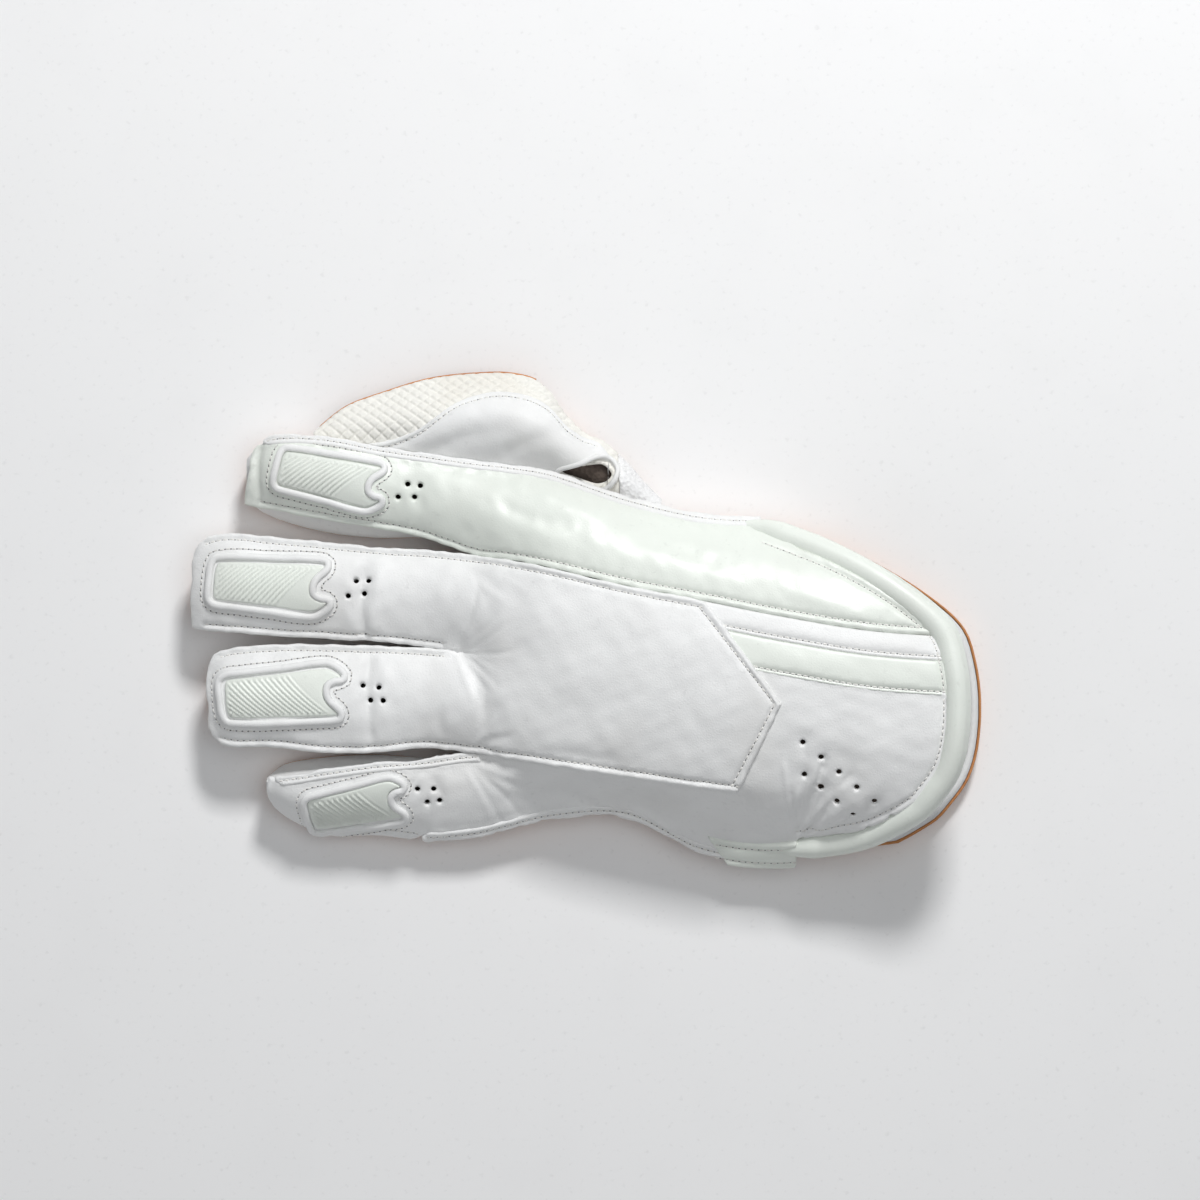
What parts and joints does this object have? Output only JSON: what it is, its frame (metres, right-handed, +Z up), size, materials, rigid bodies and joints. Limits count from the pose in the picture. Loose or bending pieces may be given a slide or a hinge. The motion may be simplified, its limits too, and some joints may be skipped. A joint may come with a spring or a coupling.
{
  "type": "wicketkeeping glove",
  "caption": "White leather wicketkeeping glove for the left hand, lying palm down, with ribbed finger shields, a webbed thumb and a padded cuff.",
  "frame": {"origin": "centre of the glove's box at the ground that the palm lies on", "axes": "+X from the fingers to the cuff, +Y to the thumb's side, +Z up out of the back of the hand"},
  "size_m": [0.3172, 0.2002, 0.0617],
  "materials": {
    "white_leather": "soft matte grain",
    "gloss_leather": "coated, glossy",
    "cream_rubber": "diamond relief",
    "palm_rubber": "fine pimples, matte",
    "white_mesh": "dimpled knit"
  },
  "bodies": {
    "root": {"back_panel": "white_leather", "outer_panel": "white_leather", "cuff_strap_upper": "white_leather", "index_lip": "white_leather", "little_lip": "white_leather", "side_lip": "white_leather", "index_window": "white_leather", "middle_window": "white_leather", "ring_window": "white_leather", "little_window": "white_leather", "web_patch": "white_leather", "palm": "white_leather", "index_palm": "white_leather", "middle_palm": "white_leather", "ring_palm": "white_leather", "little_palm": "white_leather", "thumb_palm": "white_leather", "index_panel": "gloss_leather", "cuff_strap_lower": "gloss_leather", "cuff_binding": "gloss_leather", "cuff_tab": "gloss_leather", "index_shield": "gloss_leather", "middle_shield": "gloss_leather", "ring_shield": "gloss_leather", "little_shield": "gloss_leather", "web": "cream_rubber", "palm_facing": "palm_rubber", "index_facing": "palm_rubber", "middle_facing": "palm_rubber", "ring_facing": "palm_rubber", "little_facing": "palm_rubber", "thumb_facing": "palm_rubber", "web_facing": "palm_rubber", "thumb_gusset": "white_mesh"}
  },
  "joints": []
}
